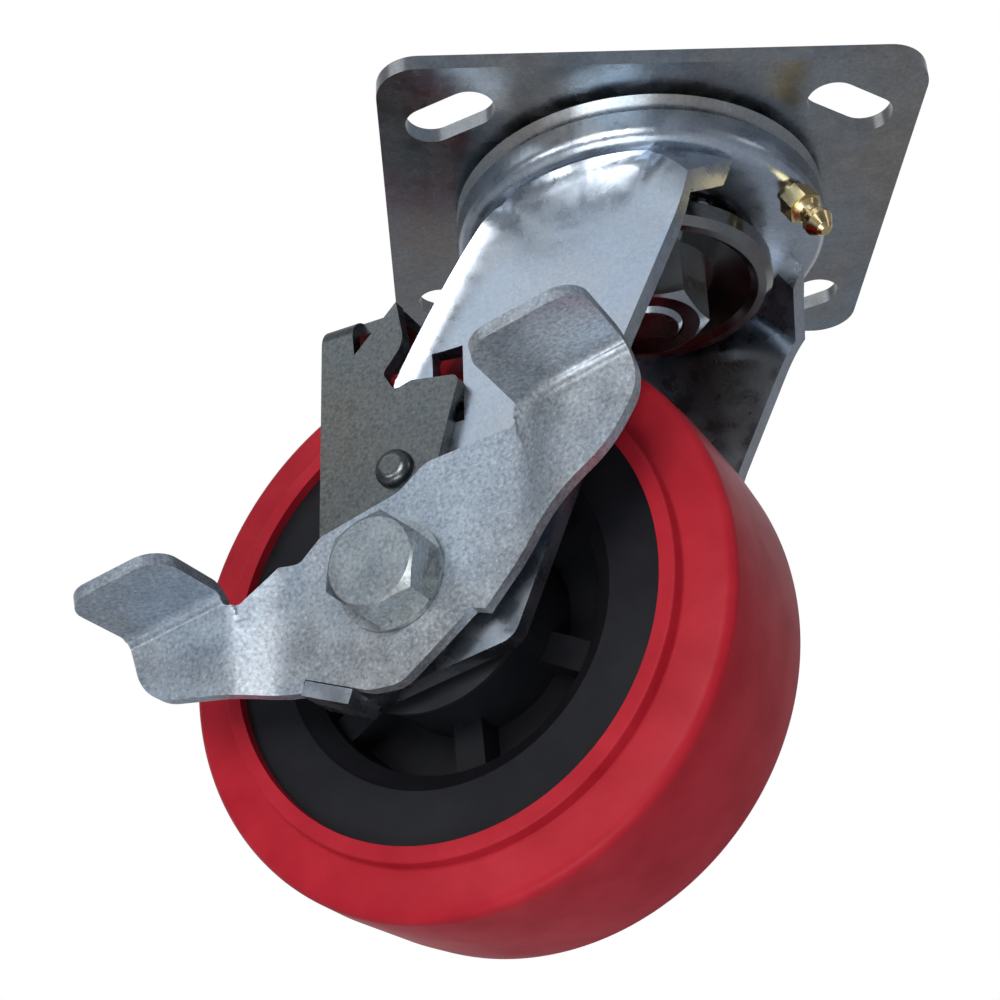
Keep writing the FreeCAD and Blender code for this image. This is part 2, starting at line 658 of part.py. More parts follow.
# Axle bolt: a hexagon head on the near side, a plain shank through both legs and the sleeve.
bolt_seat = "leg_gap / 2 + yoke_gauge + 3 * slip + shoe_gauge + lever_gauge + washer_gauge"
far_seat = "leg_gap / 2 + yoke_gauge + washer_gauge"
seat = (size["leg_gap"] / 2 + size["yoke_gauge"] + 3 * size["slip"] + size["shoe_gauge"] + size["lever_gauge"]
        + size["washer_gauge"])
far = size["leg_gap"] / 2 + size["yoke_gauge"] + size["washer_gauge"]
turned = axle * turn(size["hex_turn"])
bolt = hexagon_body("axle_bolt", "hex_flats", seat, "hex_height", turned)
turn_off_corners(bolt, "head_corners", "hex_flats", bolt_seat + " + hex_height", "-1")
shank = new_sketch(bolt, "shank_profile", "XZ_Plane")
draw_outline(shank, [("0", bolt_seat), ("axle_width / 2", bolt_seat),
                     ("axle_width / 2", "-(%s) - nut_height - axle_stub + 1" % far_seat),
                     ("axle_width / 2 - 1", "-(%s) - nut_height - axle_stub" % far_seat),
                     ("0", "-(%s) - nut_height - axle_stub" % far_seat)])
revolve(bolt, "shank", shank)
keep("axle_bolt", bolt)

# Axle nut on the far side.
nut = hexagon_body("axle_nut", "hex_flats", -far - size["nut_height"], "nut_height", turned)
nut_hole = new_sketch(nut, "axle_nut_bore", "XY_Plane", -far)
draw_circle(nut_hole, "axle_width + 2 * fit")
pocket(nut, "axle_nut_bored", nut_hole, "nut_height")
turn_off_corners(nut, "axle_nut_corners", "hex_flats", "-(%s) - nut_height" % far_seat, "1")
keep("axle_nut", nut)


def pair(label, profile):
    """The same turned piece on both sides of the wheel, the second one turned about."""
    first = turned_body(label + "_near", profile, axle)
    second = turned_body(label + "_far", profile, axle * turn(180, (1, 0, 0)))
    both = doc.addObject("Part::Compound", label)
    both.Links = [first, second]
    keep(label, both)


def ring(inner, outer, low, high):
    return [(inner, low), (outer, low), (outer, high), (inner, high)]


# Washers under the bolt's head and under the nut.
washer_bore = "axle_width / 2 + fit"
for label, low, high in (("head_washer", bolt_seat + " - washer_gauge", bolt_seat),
                         ("nut_washer", "-(%s)" % far_seat, "-(%s) + washer_gauge" % far_seat)):
    keep(label, turned_body(label, ring(washer_bore, "washer_width / 2", low, high), axle))

# Sleeve over the bolt between the legs, with the bearings' inner rings and the covers clamped on it.
sleeve_section = ring("axle_width / 2 + fit", "sleeve_width / 2", "-leg_gap / 2", "leg_gap / 2")
keep("axle_sleeve", turned_body("axle_sleeve", sleeve_section, axle))
bearing_in = "hub_half - bearing_depth"
pair("bearing_inner_rings", ring("sleeve_width / 2", "inner_ring_width / 2", bearing_in, "hub_half"))
pair("bearing_outer_rings", ring("outer_ring_bore / 2", "bearing_width / 2", bearing_in, "hub_half"))
pair("bearing_shields", ring("inner_ring_width / 2 + shield_gap", "outer_ring_bore / 2",
                             "hub_half - shield_depth - shield_gauge", "hub_half - shield_depth"))
pair("dust_covers", [
    ("sleeve_width / 2", "hub_half"), ("cover_collar / 2", "hub_half"),
    ("cover_collar / 2", "hub_half + cover_gap"), ("cover_width / 2", "hub_half + cover_gap"),
    ("cover_width / 2", "hub_half + cover_gap + cover_gauge"),
    ("cover_collar / 2 + 1", "hub_half + cover_gap + cover_gauge"),
    ("cover_collar / 2", "leg_gap / 2"), ("sleeve_width / 2", "leg_gap / 2"),
])

# Wheel centre: a moulded hub, a web with six ribs on each side and a deep rim with a keying band.
half_core = [
    ("rim_width / 2", "rim_half"), ("dish_width / 2 + 0.6", "rim_half"), ("dish_width / 2", "rim_half - 0.7"),
    ("ledge_width / 2", "ledge_half"), ("ledge_width / 2 - 0.4", "web_half"),
    ("hub_width / 2 + 0.9", "web_half"),
    ("hub_width / 2", "hub_half"), ("bearing_width / 2", "hub_half"), ("bearing_width / 2", bearing_in),
    ("hub_bore / 2", bearing_in),
]


def mirrored(points):
    return [(radius, "-(%s)" % level) for radius, level in reversed(points)]


core = turned_body("wheel_core", half_core + mirrored(half_core), axle)
rib = new_sketch(core, "rib_outline", "XY_Plane")
draw_outline(rib, [("hub_width / 2 - 1", "-rib_width / 2"), ("ledge_width / 2 + 1", "-rib_width / 2"),
                   ("ledge_width / 2 + 1", "rib_width / 2"), ("hub_width / 2 - 1", "rib_width / 2")])
rib_pad = pad(core, "rib", rib, "2 * rib_half", Midplane=True)
pattern = core.newObject("PartDesign::PolarPattern", "ribs")
pattern.Originals = [rib_pad]
pattern.Axis = (rib, ["N_Axis"])
pattern.Angle = 360.0
pattern.setExpression("Occurrences", bind("rib_count"))
core.Tip = pattern
doc.recompute()
core.Placement = axle * turn(size["rib_turn"])
keep("wheel_core", core)

# Tyre: cast on the rim, with a raised collar beside the core, a stepped side and a rounded tread.
half_tyre = [
    ("rim_width / 2", "collar_half"), ("collar_width / 2", "collar_half"),
    ("collar_width / 2 + 0.5", "collar_foot"),
    ("wheel_width / 2 - tread_bulge - tread_corner", "tread_half"),
    ("wheel_width / 2 - tread_bulge - tread_corner * 0.3", "tread_half - tread_corner * 0.3"),
    ("wheel_width / 2 - tread_bulge", "tread_half - tread_corner"),
    ("wheel_width / 2", "tread_half / 2"),
]
tyre = turned_body("tyre", half_tyre + mirrored(half_tyre), axle)
keep("tyre", tyre)

# Brake shoe plate: it slides up and down on the near leg, with a flange bent over the tread, an arm
# beside it, a guide lug in the leg's window and a slot round the lever's cam.
shoe_back = size["leg_gap"] / 2 + size["yoke_gauge"] + size["slip"]
shoe = new_body("brake_shoe", axle)
shoe_sketch = new_sketch(shoe, "shoe_outline", "XY_Plane", shoe_back)
shoe_line = "shoe_top - shoe_bend"
draw_outline(shoe_sketch, [
    ("-shoe_side", shoe_line), ("-shoe_side + 0.5", "-8"), ("-12", "-15.2"), ("7", "-15.2"), ("12", "-8"),
    ("12", "15"), ("9", "25.6"), ("14.2", "shoe_top - 23.2"), ("2.7", "shoe_top - 21.2"),
    ("-1.2", "shoe_top - 22.4"), ("-4", "shoe_top - 17.6"), ("1.2", "shoe_top - 11.4"),
    ("-0.7", "shoe_top - 0.7"),
    ("-11", "shoe_top - 10.8"), ("-11.5", shoe_line),
])
pad(shoe, "shoe_sheet", shoe_sketch, "shoe_gauge")
round_corners(shoe, shoe_sketch, [("shoe_round", [1, 2, 3, 4, 5]), ("shoe_nick", [7, 8, 9, 10]),
                                  ("shoe_hook", [11])])
cam_window = new_sketch(shoe, "cam_window", "XY_Plane", shoe_back + size["shoe_gauge"])
draw_outline(cam_window, [
    ("-cam_offset - cam_width / 2 - slip", "-cam_width / 2 - slip"),
    ("-cam_offset + cam_width / 2 + 4 * slip", "-cam_width / 2 - slip"),
    ("-cam_offset + cam_width / 2 + 4 * slip", "cam_width / 2 + slip"),
    ("-cam_offset - cam_width / 2 - slip", "cam_width / 2 + slip"),
])
pocket(shoe, "cam_window_cut", cam_window, "shoe_gauge")
shoe_front = shoe_back + size["shoe_gauge"]
flange = new_sketch(shoe, "flange_section", "YZ_Plane", -size["shoe_side"])
draw_outline(flange, [
    (shoe_line, str(shoe_back)), (shoe_line, str(shoe_front)),
    ("shoe_top", str(shoe_front)), ("shoe_top", "%s - shoe_reach" % shoe_front),
    ("shoe_top - shoe_gauge", "%s - shoe_reach" % shoe_front), ("shoe_top - shoe_gauge", str(shoe_back)),
])
pad(shoe, "flange", flange, "flange_width")
shelf = new_sketch(shoe, "shelf_section", "YZ_Plane", -size["shoe_side"] + size["flange_width"] - size["fit"])
draw_outline(shelf, [
    ("shoe_top - shoe_gauge", "%s - shelf_back" % shoe_back), ("shoe_top", "%s - shelf_back" % shoe_back),
    ("shoe_top", "%s - shoe_reach" % shoe_front), ("shoe_top - shoe_gauge", "%s - shoe_reach" % shoe_front),
])
pad(shoe, "shelf", shelf, "shelf_width")
guide = new_sketch(shoe, "guide_outline", "XY_Plane", shoe_back)
guide_top = "shoe_top - guide_below"
draw_outline(guide, [("window_left + slip", guide_top + " - guide_height"),
                     ("window_right - slip", guide_top + " - guide_height"),
                     ("window_right - slip", guide_top), ("window_left + slip", guide_top)])
pad(shoe, "guide_lug", guide, "yoke_gauge - 6 * slip", Reversed=True)
bump = new_sketch(shoe, "bump_outline", "XY_Plane", shoe_front)
draw_circle(bump, "bump_width", "bump_across", "bump_level")
pad(shoe, "bump", bump, "bump_height")


def line_at(edge, **where):
    """True where the edge's middle stands at the given coordinates."""
    middle = edge.CenterOfMass
    return all(abs(getattr(middle, axis) - amount) < 0.3 for axis, amount in where.items())


round_edges(shoe, "shoe_bend_outside", "shoe_bend",
            lambda edge: line_at(edge, y=size["shoe_top"], z=shoe_front)
            and edge.Length < 1.2 * size["flange_width"])
round_edges(shoe, "bump_round", "bump_height - 2 * slip",
            lambda edge: edge.Curve.TypeId == "Part::GeomCircle"
            and abs(edge.Curve.Radius - size["bump_width"] / 2) < 0.01
            and abs(edge.Curve.Center.z - shoe_front - size["bump_height"]) < 0.01)
keep("brake_shoe", shoe)

# Brake lever: a rocking plate under the bolt's head. Its middle lies on the shoe plate, both ends step
# outwards, and a pedal is folded out of the upper edge at each end. An off-centre cam on its back
# works in the shoe plate's window.
lever_in = shoe_back + size["shoe_gauge"] + size["slip"]
lever_top = lever_in + size["lever_gauge"] + size["lever_joggle"]
lever = new_body("brake_lever", axle)
lever_sketch = new_sketch(lever, "lever_outline", "XY_Plane", lever_in)
draw_outline(lever_sketch, [
    ("-61.1", "0.9"), ("-56.3", "-15.8"), ("-20.5", "-19.9"), ("-19.8", "-17.1"), ("-5.4", "-22.3"),
    ("1.6", "-22.4"), ("17", "-10.4"), ("20", "-11.3"), ("33.2", "3.6"), ("48.4", "14.2"), ("56", "25.2"),
    ("53.3", "36.4"), ("29.2", "30.6"), ("27.8", "25.6"), ("7.6", "23.1"), ("1.3", "18.1"), ("-16.9", "12.8"),
    ("-21.8", "8.1"), ("-26.6", "8.3"), ("-34", "0.7"), ("-37", "0.9"), ("-37.9", "5.9"),
])
pad(lever, "lever_block", lever_sketch, "lever_gauge + lever_joggle")
round_corners(lever, lever_sketch, [
    ("lever_end", [1, 10]), ("lever_lobe", [4, 5, 14, 15]), ("lever_sweep", [8, 9]),
    ("lever_nick", [13, 16, 17]), ("lever_slot", [18, 19, 20])])
steps = new_sketch(lever, "lever_steps", "XZ_Plane")
inside = str(lever_in)
outside = str(lever_top)
draw_outline(steps, [("-70", inside), ("-24", inside), ("-38", inside + " + lever_joggle"),
                     ("-70", inside + " + lever_joggle")])
draw_outline(steps, [("26", inside), ("80", inside), ("80", inside + " + lever_joggle"),
                     ("42", inside + " + lever_joggle")])
draw_outline(steps, [("-37.6", outside), ("-23.6", outside + " - lever_joggle"),
                     ("25.6", outside + " - lever_joggle"), ("41.6", outside)])
pocket(lever, "lever_stepped", steps, "200", Midplane=True)
cam = new_sketch(lever, "cam_outline", "XY_Plane", lever_in)
draw_circle(cam, "cam_width", "-cam_offset")
pad(lever, "cam", cam, "shoe_gauge", Reversed=True)
bore = new_sketch(lever, "lever_bore", "XY_Plane", lever_in + size["lever_gauge"])
draw_circle(bore, "axle_width + 2 * fit")
pocket(lever, "lever_bored", bore, "lever_gauge + shoe_gauge + 1")
fold_base = lever_top - size["lever_gauge"]
rear_section = [("-60.5", "-1.7"), ("-37.3", "3.3"), ("-37.9", "5.9"), ("-61.1", "0.9")]
front_section = [("29.8", "28"), ("53.9", "33.8"), ("53.3", "36.4"), ("29.2", "30.6")]
for name, section in (("pedal_rear", rear_section), ("pedal_front", front_section)):
    fold = new_sketch(lever, name + "_section", "XY_Plane", fold_base)
    draw_outline(fold, section)
    pad(lever, name + "_folded", fold, "lever_gauge + " + name)
    level = lever_top + size[name]
    round_edges(lever, name + "_corners", "pedal_corner",
                lambda edge: abs(edge.BoundBox.ZMin - level) < 0.01 and abs(edge.BoundBox.ZMax - level) < 0.01
                and edge.Length < 1.2 * size["lever_gauge"])
keep("brake_lever", lever)

doc.recompute()
for item in doc.Objects:
    if "Invalid" in item.State or "Error" in item.State:
        raise RuntimeError("%s did not compute" % item.Label)
for label, item in parts.items():
    if item.Shape.isNull() or not item.Shape.isValid():
        raise RuntimeError("%s has no valid shape" % label)
os.makedirs("parts", exist_ok=True)
for label, item in parts.items():
    item.Shape.exportStep("parts/%s.step" % label)
    print(label, len(item.Shape.Solids), round(item.Shape.Volume, 1))
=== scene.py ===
import math

import bmesh
import bpy
from mathutils import Matrix, Vector


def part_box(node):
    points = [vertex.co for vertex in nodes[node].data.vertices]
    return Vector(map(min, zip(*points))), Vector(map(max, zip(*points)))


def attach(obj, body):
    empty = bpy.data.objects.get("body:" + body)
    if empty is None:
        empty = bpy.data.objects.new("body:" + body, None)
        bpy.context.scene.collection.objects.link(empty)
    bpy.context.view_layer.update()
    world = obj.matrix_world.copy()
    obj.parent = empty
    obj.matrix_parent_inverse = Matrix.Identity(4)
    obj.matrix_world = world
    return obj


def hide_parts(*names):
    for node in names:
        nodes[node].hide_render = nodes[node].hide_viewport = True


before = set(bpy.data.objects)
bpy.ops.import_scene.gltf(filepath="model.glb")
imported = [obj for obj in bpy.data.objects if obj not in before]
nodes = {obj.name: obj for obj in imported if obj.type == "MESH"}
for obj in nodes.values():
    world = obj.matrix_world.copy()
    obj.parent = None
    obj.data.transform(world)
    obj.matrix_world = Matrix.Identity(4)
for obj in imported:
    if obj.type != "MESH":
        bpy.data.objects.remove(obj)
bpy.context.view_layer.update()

scene = bpy.context.scene

# Stand: a pale floor well below the castor, which hangs from its plate as it does under a trolley, and the
# photograph's camera, which looks up at it from the brake's side.
CAMERA_PLACE = Vector((-0.03881, -0.31796, -0.23892))
CAMERA_RIGHT = Vector((0.99950, 0.00072, -0.03158))
CAMERA_UP = Vector((0.02842, -0.45709, 0.88896))
CAMERA_LENS = 61.6
FLOOR_HEIGHT = -0.75
FLOOR_HALF = 8.0
FLOOR_PALE = (0.82, 0.82, 0.82, 1.0)
FLOOR_DULL = 0.9
FLOOR_GLOW = (0.9, 0.9, 0.9, 1.0)
FLOOR_SHOWN = 0.7
FLOOR_MIRRORED = 0.04

camera_data = bpy.data.cameras.new("photo_camera")
camera_data.lens = CAMERA_LENS
camera_data.sensor_width = 36.0
camera_data.clip_start = 0.01
camera_data.clip_end = 100.0
camera = bpy.data.objects.new("photo_camera", camera_data)
scene.collection.objects.link(camera)
turn = Matrix((CAMERA_RIGHT, CAMERA_UP, CAMERA_RIGHT.cross(CAMERA_UP))).transposed()
camera.matrix_world = Matrix.Translation(CAMERA_PLACE) @ turn.to_4x4()
scene.camera = camera
scene.view_settings.view_transform = "Standard"


def add(tree, kind, **settings):
    """A node of a material, with its sockets or its own settings given by name."""
    item = tree.nodes.new("ShaderNode" + kind)
    for name, value in settings.items():
        socket = item.inputs.get(name.replace("_", " "))
        if socket is not None:
            socket.default_value = value
        else:
            setattr(item, name, value)
    return item


def seen_share(tree, **shares):
    """How much of a surface's or the sky's own brightness each kind of ray is shown, from 0 to 1."""
    path = add(tree, "LightPath")
    total = None
    for kind, share in shares.items():
        part = add(tree, "Math", operation="MULTIPLY")
        part.inputs[1].default_value = share
        tree.links.new(path.outputs["Is " + kind + " Ray"], part.inputs[0])
        if total is not None:
            joined = add(tree, "Math", operation="MAXIMUM")
            tree.links.new(total, joined.inputs[0])
            tree.links.new(part.outputs[0], joined.inputs[1])
            part = joined
        total = part.outputs[0]
    return total


floor_mesh = bpy.data.meshes.new("floor")
floor_corners = [(x * FLOOR_HALF, y * FLOOR_HALF, FLOOR_HEIGHT)
                 for x, y in ((-1, -1), (1, -1), (1, 1), (-1, 1))]
floor_mesh.from_pydata(floor_corners, [], [(0, 1, 2, 3)])
floor = bpy.data.objects.new("floor", floor_mesh)
scene.collection.objects.link(floor)
floor_paint = bpy.data.materials.new("floor_paint")
floor_paint.use_nodes = True
floor_tree = floor_paint.node_tree
floor_shader = floor_tree.nodes["Principled BSDF"]
floor_shader.inputs["Base Color"].default_value = FLOOR_PALE
floor_shader.inputs["Roughness"].default_value = FLOOR_DULL
floor_glow = add(floor_tree, "Emission", Color=FLOOR_GLOW)
floor_mix = add(floor_tree, "MixShader")
floor_tree.links.new(seen_share(floor_tree, Camera=FLOOR_SHOWN, Glossy=FLOOR_MIRRORED,
                                Transmission=FLOOR_SHOWN), floor_mix.inputs[0])
floor_tree.links.new(floor_shader.outputs[0], floor_mix.inputs[1])
floor_tree.links.new(floor_glow.outputs[0], floor_mix.inputs[2])
floor_tree.links.new(floor_mix.outputs[0], floor_tree.nodes["Material Output"].inputs["Surface"])
floor_mesh.materials.append(floor_paint)

# Light: a white backdrop behind the castor, which its metal mirrors in part, in a dim room with five soft
# windows: a wide one in front on the brake side, and smaller ones to its left and right, above and below.
OBJECT_MIDDLE = Vector((-0.03, 0.0, -0.08))
ROOM_BELOW = (0.03, 0.03, 0.03, 1.0)
ROOM_LEVEL = (0.10, 0.105, 0.115, 1.0)
ROOM_ABOVE = (0.30, 0.33, 0.38, 1.0)
ROOM_TOP = 0.9
BACKDROP_START = 0.35
BACKDROP_FULL = 0.75
BACKDROP_MIRRORED = 0.5

world = bpy.data.worlds.new("studio")
scene.world = world
world.use_nodes = True
sky = world.node_tree
sky.nodes.clear()
sky_direction = add(sky, "TexCoord").outputs["Generated"]
sky_split = add(sky, "SeparateXYZ")
sky.links.new(sky_direction, sky_split.inputs[0])
sky_height = add(sky, "MapRange")
sky_height.inputs["From Min"].default_value = -1.0
sky.links.new(sky_split.outputs["Z"], sky_height.inputs["Value"])
sky_ramp = add(sky, "ValToRGB")
sky.links.new(sky_height.outputs["Result"], sky_ramp.inputs["Fac"])
sky_ramp.color_ramp.elements[0].color = ROOM_BELOW
sky_ramp.color_ramp.elements[1].color = ROOM_ABOVE
sky_ramp.color_ramp.elements[1].position = ROOM_TOP
sky_ramp.color_ramp.elements.new(0.5).color = ROOM_LEVEL
sky_light = add(sky, "Background", Strength=1.0)
sky.links.new(sky_ramp.outputs["Color"], sky_light.inputs["Color"])
sky_white = add(sky, "Background", Color=(1.0, 1.0, 1.0, 1.0), Strength=1.0)
backdrop_side = add(sky, "MapRange")
backdrop_side.inputs["From Min"].default_value = BACKDROP_START
backdrop_side.inputs["From Max"].default_value = BACKDROP_FULL
sky.links.new(sky_split.outputs["Y"], backdrop_side.inputs["Value"])
mirrored = add(sky, "Math", operation="MULTIPLY")
sky.links.new(seen_share(sky, Glossy=BACKDROP_MIRRORED), mirrored.inputs[0])
sky.links.new(backdrop_side.outputs["Result"], mirrored.inputs[1])
shown = add(sky, "Math", operation="MAXIMUM")
sky.links.new(seen_share(sky, Camera=1.0, Transmission=1.0), shown.inputs[0])
sky.links.new(mirrored.outputs[0], shown.inputs[1])
sky_mix = add(sky, "MixShader")
sky.links.new(shown.outputs[0], sky_mix.inputs[0])
sky.links.new(sky_light.outputs[0], sky_mix.inputs[1])
sky.links.new(sky_white.outputs[0], sky_mix.inputs[2])
sky.links.new(sky_mix.outputs[0], add(sky, "OutputWorld").inputs["Surface"])


def lamp(name, side, height, reach, width, tall, watts, colour):
    """A soft oblong lamp aimed at the castor, placed by its compass side and height in degrees."""
    data = bpy.data.lights.new(name, "AREA")
    data.shape = "RECTANGLE"
    data.size = width
    data.size_y = tall
    data.energy = watts
    data.color = colour
    item = bpy.data.objects.new(name, data)
    side, height = math.radians(side), math.radians(height)
    away = Vector((math.cos(height) * math.cos(side), math.cos(height) * math.sin(side), math.sin(height)))
    item.location = OBJECT_MIDDLE + reach * away
    item.rotation_mode = "QUATERNION"
    item.rotation_quaternion = away.to_track_quat("Z", "Y")
    item.visible_camera = False
    scene.collection.objects.link(item)


lamp("front_window", -108.0, 4.0, 1.05, 0.52, 0.46, 4.7, (1.0, 0.99, 0.97))
lamp("left_window", -141.0, 0.0, 1.15, 0.34, 0.24, 1.3, (0.97, 0.99, 1.0))
lamp("upper_window", -150.0, 36.0, 1.20, 0.70, 0.50, 0.9, (0.88, 0.95, 1.0))
lamp("low_window", -108.0, -48.0, 0.75, 0.40, 0.30, 1.5, (0.90, 0.96, 1.0))
lamp("right_window", -30.0, 14.0, 1.20, 0.30, 0.60, 0.5, (1.0, 0.98, 0.95))

# Top plate: steel sheet with four slanted slots and a stepped centre pressed down into it, plated with
# bright zinc, which shows a fine mottled grain, pale specks and scratches, and faint cool and warm patches:
# partly the plating's uneven tone, partly painted reflections of cool and warm surroundings, scattered at
# random.
# Tints of the cool and warm patches, which are partly painted reflections of cool and warm surroundings.
PLATE_COOL = (0.36, 0.40, 0.43, 1.0)
PLATE_WARM = (0.39, 0.36, 0.33, 1.0)
ZINC_NOISES = (("patches", 24.0, 3.0), ("clouds", 160.0, 3.0), ("grain", 1250.0, 2.0), ("swell", 38.0, 1.0))
CLOUD_TINT = (0.62, 0.64, 0.66, 1.0)
CLOUD_SHARE = 0.35
GRAIN_TINT = (0.45, 0.46, 0.48, 1.0)
GRAIN_DEPTH = 0.00005
SCRATCH_STRETCH = (70.0, 1500.0, 300.0)
SCRATCH_TURN = (0.4, 0.5, 0.9)
SPECK_SCALE = 640.0
PALER = 1.5
GLOSS_SPREAD = (-0.06, 0.08)


def stretched(tree, source, low, high):
    """Stretch a value between two levels to the full range from 0 to 1."""
    item = add(tree, "MapRange")
    item.inputs["From Min"].default_value = low
    item.inputs["From Max"].default_value = high
    tree.links.new(source, item.inputs["Value"])
    return item.outputs["Result"]


def blended(tree, share, first, second, kind="MIX"):
    """Mix two colours, each a link or a plain colour, by a share."""
    item = add(tree, "Mix", data_type="RGBA", blend_type=kind)
    for socket, colour in ((item.inputs[6], first), (item.inputs[7], second)):
        if isinstance(colour, tuple):
            socket.default_value = colour
        else:
            tree.links.new(colour, socket)
    tree.links.new(share, item.inputs[0])
    return item.outputs[2]


def scaled(tree, source, factor):
    """A value times a plain number."""
    item = add(tree, "Math", operation="MULTIPLY")
    item.inputs[1].default_value = factor
    tree.links.new(source, item.inputs[0])
    return item.outputs[0]


def zinc_finish(name, cool, warm, gloss, mottle, specks, scratches, waves=0.0, metal=1.0):
    """Plated metal: cool and warm patches, partly uneven tone and partly painted reflections of cool and
    warm surroundings, faint clouds, a mottled grain, pale specks, thin scratches and slow waves in its
    surface."""
    material = bpy.data.materials.new(name)
    material.use_nodes = True
    tree = material.node_tree
    shader = tree.nodes["Principled BSDF"]
    shader.inputs["Metallic"].default_value = metal
    place = add(tree, "TexCoord").outputs["Object"]
    textures = {}
    for kind, scale, detail in ZINC_NOISES:
        textures[kind] = add(tree, "TexNoise", Scale=scale, Detail=detail, Roughness=0.55)
        tree.links.new(place, textures[kind].inputs["Vector"])
    stretch = add(tree, "Mapping", Scale=SCRATCH_STRETCH, Rotation=SCRATCH_TURN)
    lines = add(tree, "TexNoise", Scale=1.0, Detail=2.0)
    tree.links.new(place, stretch.inputs["Vector"])
    tree.links.new(stretch.outputs["Vector"], lines.inputs["Vector"])
    dots = add(tree, "TexVoronoi", Scale=SPECK_SCALE)
    tree.links.new(place, dots.inputs["Vector"])
    # Painted reflection: cool and warm patches scattered at random, partly the plating's uneven tone.
    colour = blended(tree, stretched(tree, textures["patches"].outputs["Fac"], 0.40, 0.60), cool, warm)
    cloudy = scaled(tree, stretched(tree, textures["clouds"].outputs["Fac"], 0.60, 0.38), CLOUD_SHARE)
    colour = blended(tree, cloudy, colour, CLOUD_TINT, "MULTIPLY")
    dark_grain = scaled(tree, stretched(tree, textures["grain"].outputs["Fac"], 0.50, 0.34), mottle)
    colour = blended(tree, dark_grain, colour, GRAIN_TINT, "MULTIPLY")
    pale_grain = scaled(tree, stretched(tree, textures["grain"].outputs["Fac"], 0.56, 0.72), mottle)
    pale = tuple(min(1.0, PALER * part) for part in cool)
    colour = blended(tree, pale_grain, colour, pale)
    specked = scaled(tree, stretched(tree, dots.outputs["Distance"], 0.16, 0.07), specks)
    colour = blended(tree, specked, colour, pale)
    scratched = scaled(tree, stretched(tree, lines.outputs["Fac"], 0.74, 0.80), scratches)
    colour = blended(tree, scratched, colour, pale)
    tree.links.new(colour, shader.inputs["Base Color"])
    dull = add(tree, "MapRange")
    dull.inputs["From Min"].default_value = 0.3
    dull.inputs["From Max"].default_value = 0.7
    dull.inputs["To Min"].default_value = gloss + GLOSS_SPREAD[0]
    dull.inputs["To Max"].default_value = gloss + GLOSS_SPREAD[1]
    tree.links.new(textures["clouds"].outputs["Fac"], dull.inputs["Value"])
    tree.links.new(dull.outputs["Result"], shader.inputs["Roughness"])
    swell = add(tree, "Bump", Strength=1.0, Distance=waves)
    tree.links.new(textures["swell"].outputs["Fac"], swell.inputs["Height"])
    relief = add(tree, "Bump", Strength=0.35 * mottle + 0.1, Distance=GRAIN_DEPTH)
    tree.links.new(textures["grain"].outputs["Fac"], relief.inputs["Height"])
    tree.links.new(swell.outputs["Normal"], relief.inputs["Normal"])
    tree.links.new(relief.outputs["Normal"], shader.inputs["Normal"])
    return material


def dress(node, material):
    """Give a piece of the frame its finish."""
    slots = nodes[node].data.materials
    for index in range(len(slots)):
        slots[index] = material


plate_zinc = zinc_finish("plate_zinc", PLATE_COOL, PLATE_WARM, gloss=0.24, mottle=0.22, specks=0.15,
                         scratches=0.4, waves=0.0001)
dress("top_plate", plate_zinc)

# Kingpin: a cold-headed steel pin, zinc plated. Its head lies in the plate's seat, and its shank hangs
# through the crown and the lower race to the nut that carries them.
kingpin_zinc = zinc_finish("kingpin_zinc", PLATE_COOL, PLATE_WARM, gloss=0.26, mottle=0.2, specks=0.2,
                           scratches=0.3)
dress("kingpin", kingpin_zinc)

# Balls of the swivel: two rows of hardened steel balls, between the plate and the crown and between the
# crown and the lower race, each lying loose in its pressed grooves.
BALL_COOL = (0.58, 0.58, 0.59, 1.0)
BALL_WARM = (0.56, 0.54, 0.52, 1.0)
BALL_ROWS = (("upper_balls", 22), ("lower_balls", 18))
BALL_SUBDIVISIONS = 3

ball_steel = zinc_finish("ball_steel", BALL_COOL, BALL_WARM, gloss=0.14, mottle=0.05, specks=0.0,
                         scratches=0.1)
ball_tree = bpy.data.node_groups.new("ball_row", "GeometryNodeTree")
ball_inputs = {}
for name, kind in (("Ball Radius", "NodeSocketFloat"), ("Row Radius", "NodeSocketFloat"),
                   ("Count", "NodeSocketInt"), ("Finish", "NodeSocketMaterial")):
    ball_inputs[name] = ball_tree.interface.new_socket(name=name, in_out="INPUT", socket_type=kind)
ball_tree.interface.new_socket(name="Balls", in_out="OUTPUT", socket_type="NodeSocketGeometry")
row_in = ball_tree.nodes.new("NodeGroupInput")
row_out = ball_tree.nodes.new("NodeGroupOutput")
row_ring = ball_tree.nodes.new("GeometryNodeMeshCircle")
row_ball = ball_tree.nodes.new("GeometryNodeMeshIcoSphere")
row_ball.inputs["Subdivisions"].default_value = BALL_SUBDIVISIONS
row_place = ball_tree.nodes.new("GeometryNodeInstanceOnPoints")
row_real = ball_tree.nodes.new("GeometryNodeRealizeInstances")
row_smooth = ball_tree.nodes.new("GeometryNodeSetShadeSmooth")
row_paint = ball_tree.nodes.new("GeometryNodeSetMaterial")
ball_tree.links.new(row_in.outputs["Count"], row_ring.inputs["Vertices"])
ball_tree.links.new(row_in.outputs["Row Radius"], row_ring.inputs["Radius"])
ball_tree.links.new(row_in.outputs["Ball Radius"], row_ball.inputs["Radius"])
ball_tree.links.new(row_ring.outputs["Mesh"], row_place.inputs["Points"])
ball_tree.links.new(row_ball.outputs["Mesh"], row_place.inputs["Instance"])
ball_tree.links.new(row_place.outputs["Instances"], row_real.inputs["Geometry"])
ball_tree.links.new(row_real.outputs["Geometry"], row_smooth.inputs["Geometry"])
ball_tree.links.new(row_smooth.outputs["Geometry"], row_paint.inputs["Geometry"])
ball_tree.links.new(row_in.outputs["Finish"], row_paint.inputs["Material"])
